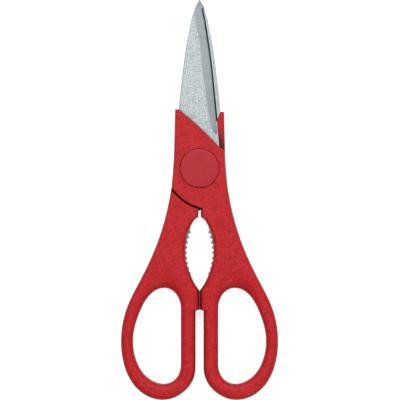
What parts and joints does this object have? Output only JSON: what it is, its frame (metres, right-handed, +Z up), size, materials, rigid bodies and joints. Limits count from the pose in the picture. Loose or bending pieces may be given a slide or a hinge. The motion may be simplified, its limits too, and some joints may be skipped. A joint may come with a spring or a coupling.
{
  "type": "kitchen shears",
  "caption": "Kitchen shears with red moulded handles, pointed steel blades, a toothed jaw opening between the arms and a round capped pivot",
  "frame": {"origin": "on the pivot axis, in the plane of the rear cap's flat outer face, which is the table plane", "axes": "shears lie flat and closed: +Y to the blade tips, +X to the right bow, +Z up out of the front face along the pivot axis"},
  "size_m": [0.0786, 0.2001, 0.0122],
  "materials": {
    "blade_steel": "satin ground steel",
    "red_moulding": "fine grained moulded plastic",
    "jaw_steel": "stamped steel",
    "cap_plastic": "smooth moulded plastic",
    "fastener_steel": "plain turned steel"
  },
  "bodies": {
    "rear_half": {"rear_blade": "blade_steel", "rear_handle": "red_moulding", "rear_jaw": "jaw_steel", "rear_cap": "cap_plastic", "pivot_screw": "fastener_steel", "pivot_nut": "fastener_steel", "head_washer": "fastener_steel", "spring_washer": "fastener_steel", "lock_washer": "fastener_steel"},
    "front_half": {"front_blade": "blade_steel", "front_handle": "red_moulding", "front_jaw": "jaw_steel", "front_cap": "cap_plastic"}
  },
  "joints": [
    {"name": "blade_pivot", "type": "hinge", "parent": "rear_half", "child": "front_half", "pos_m": [0, 0, 0.0061], "axis": [0, 0, 1], "range_deg": [0, 60]}
  ]
}
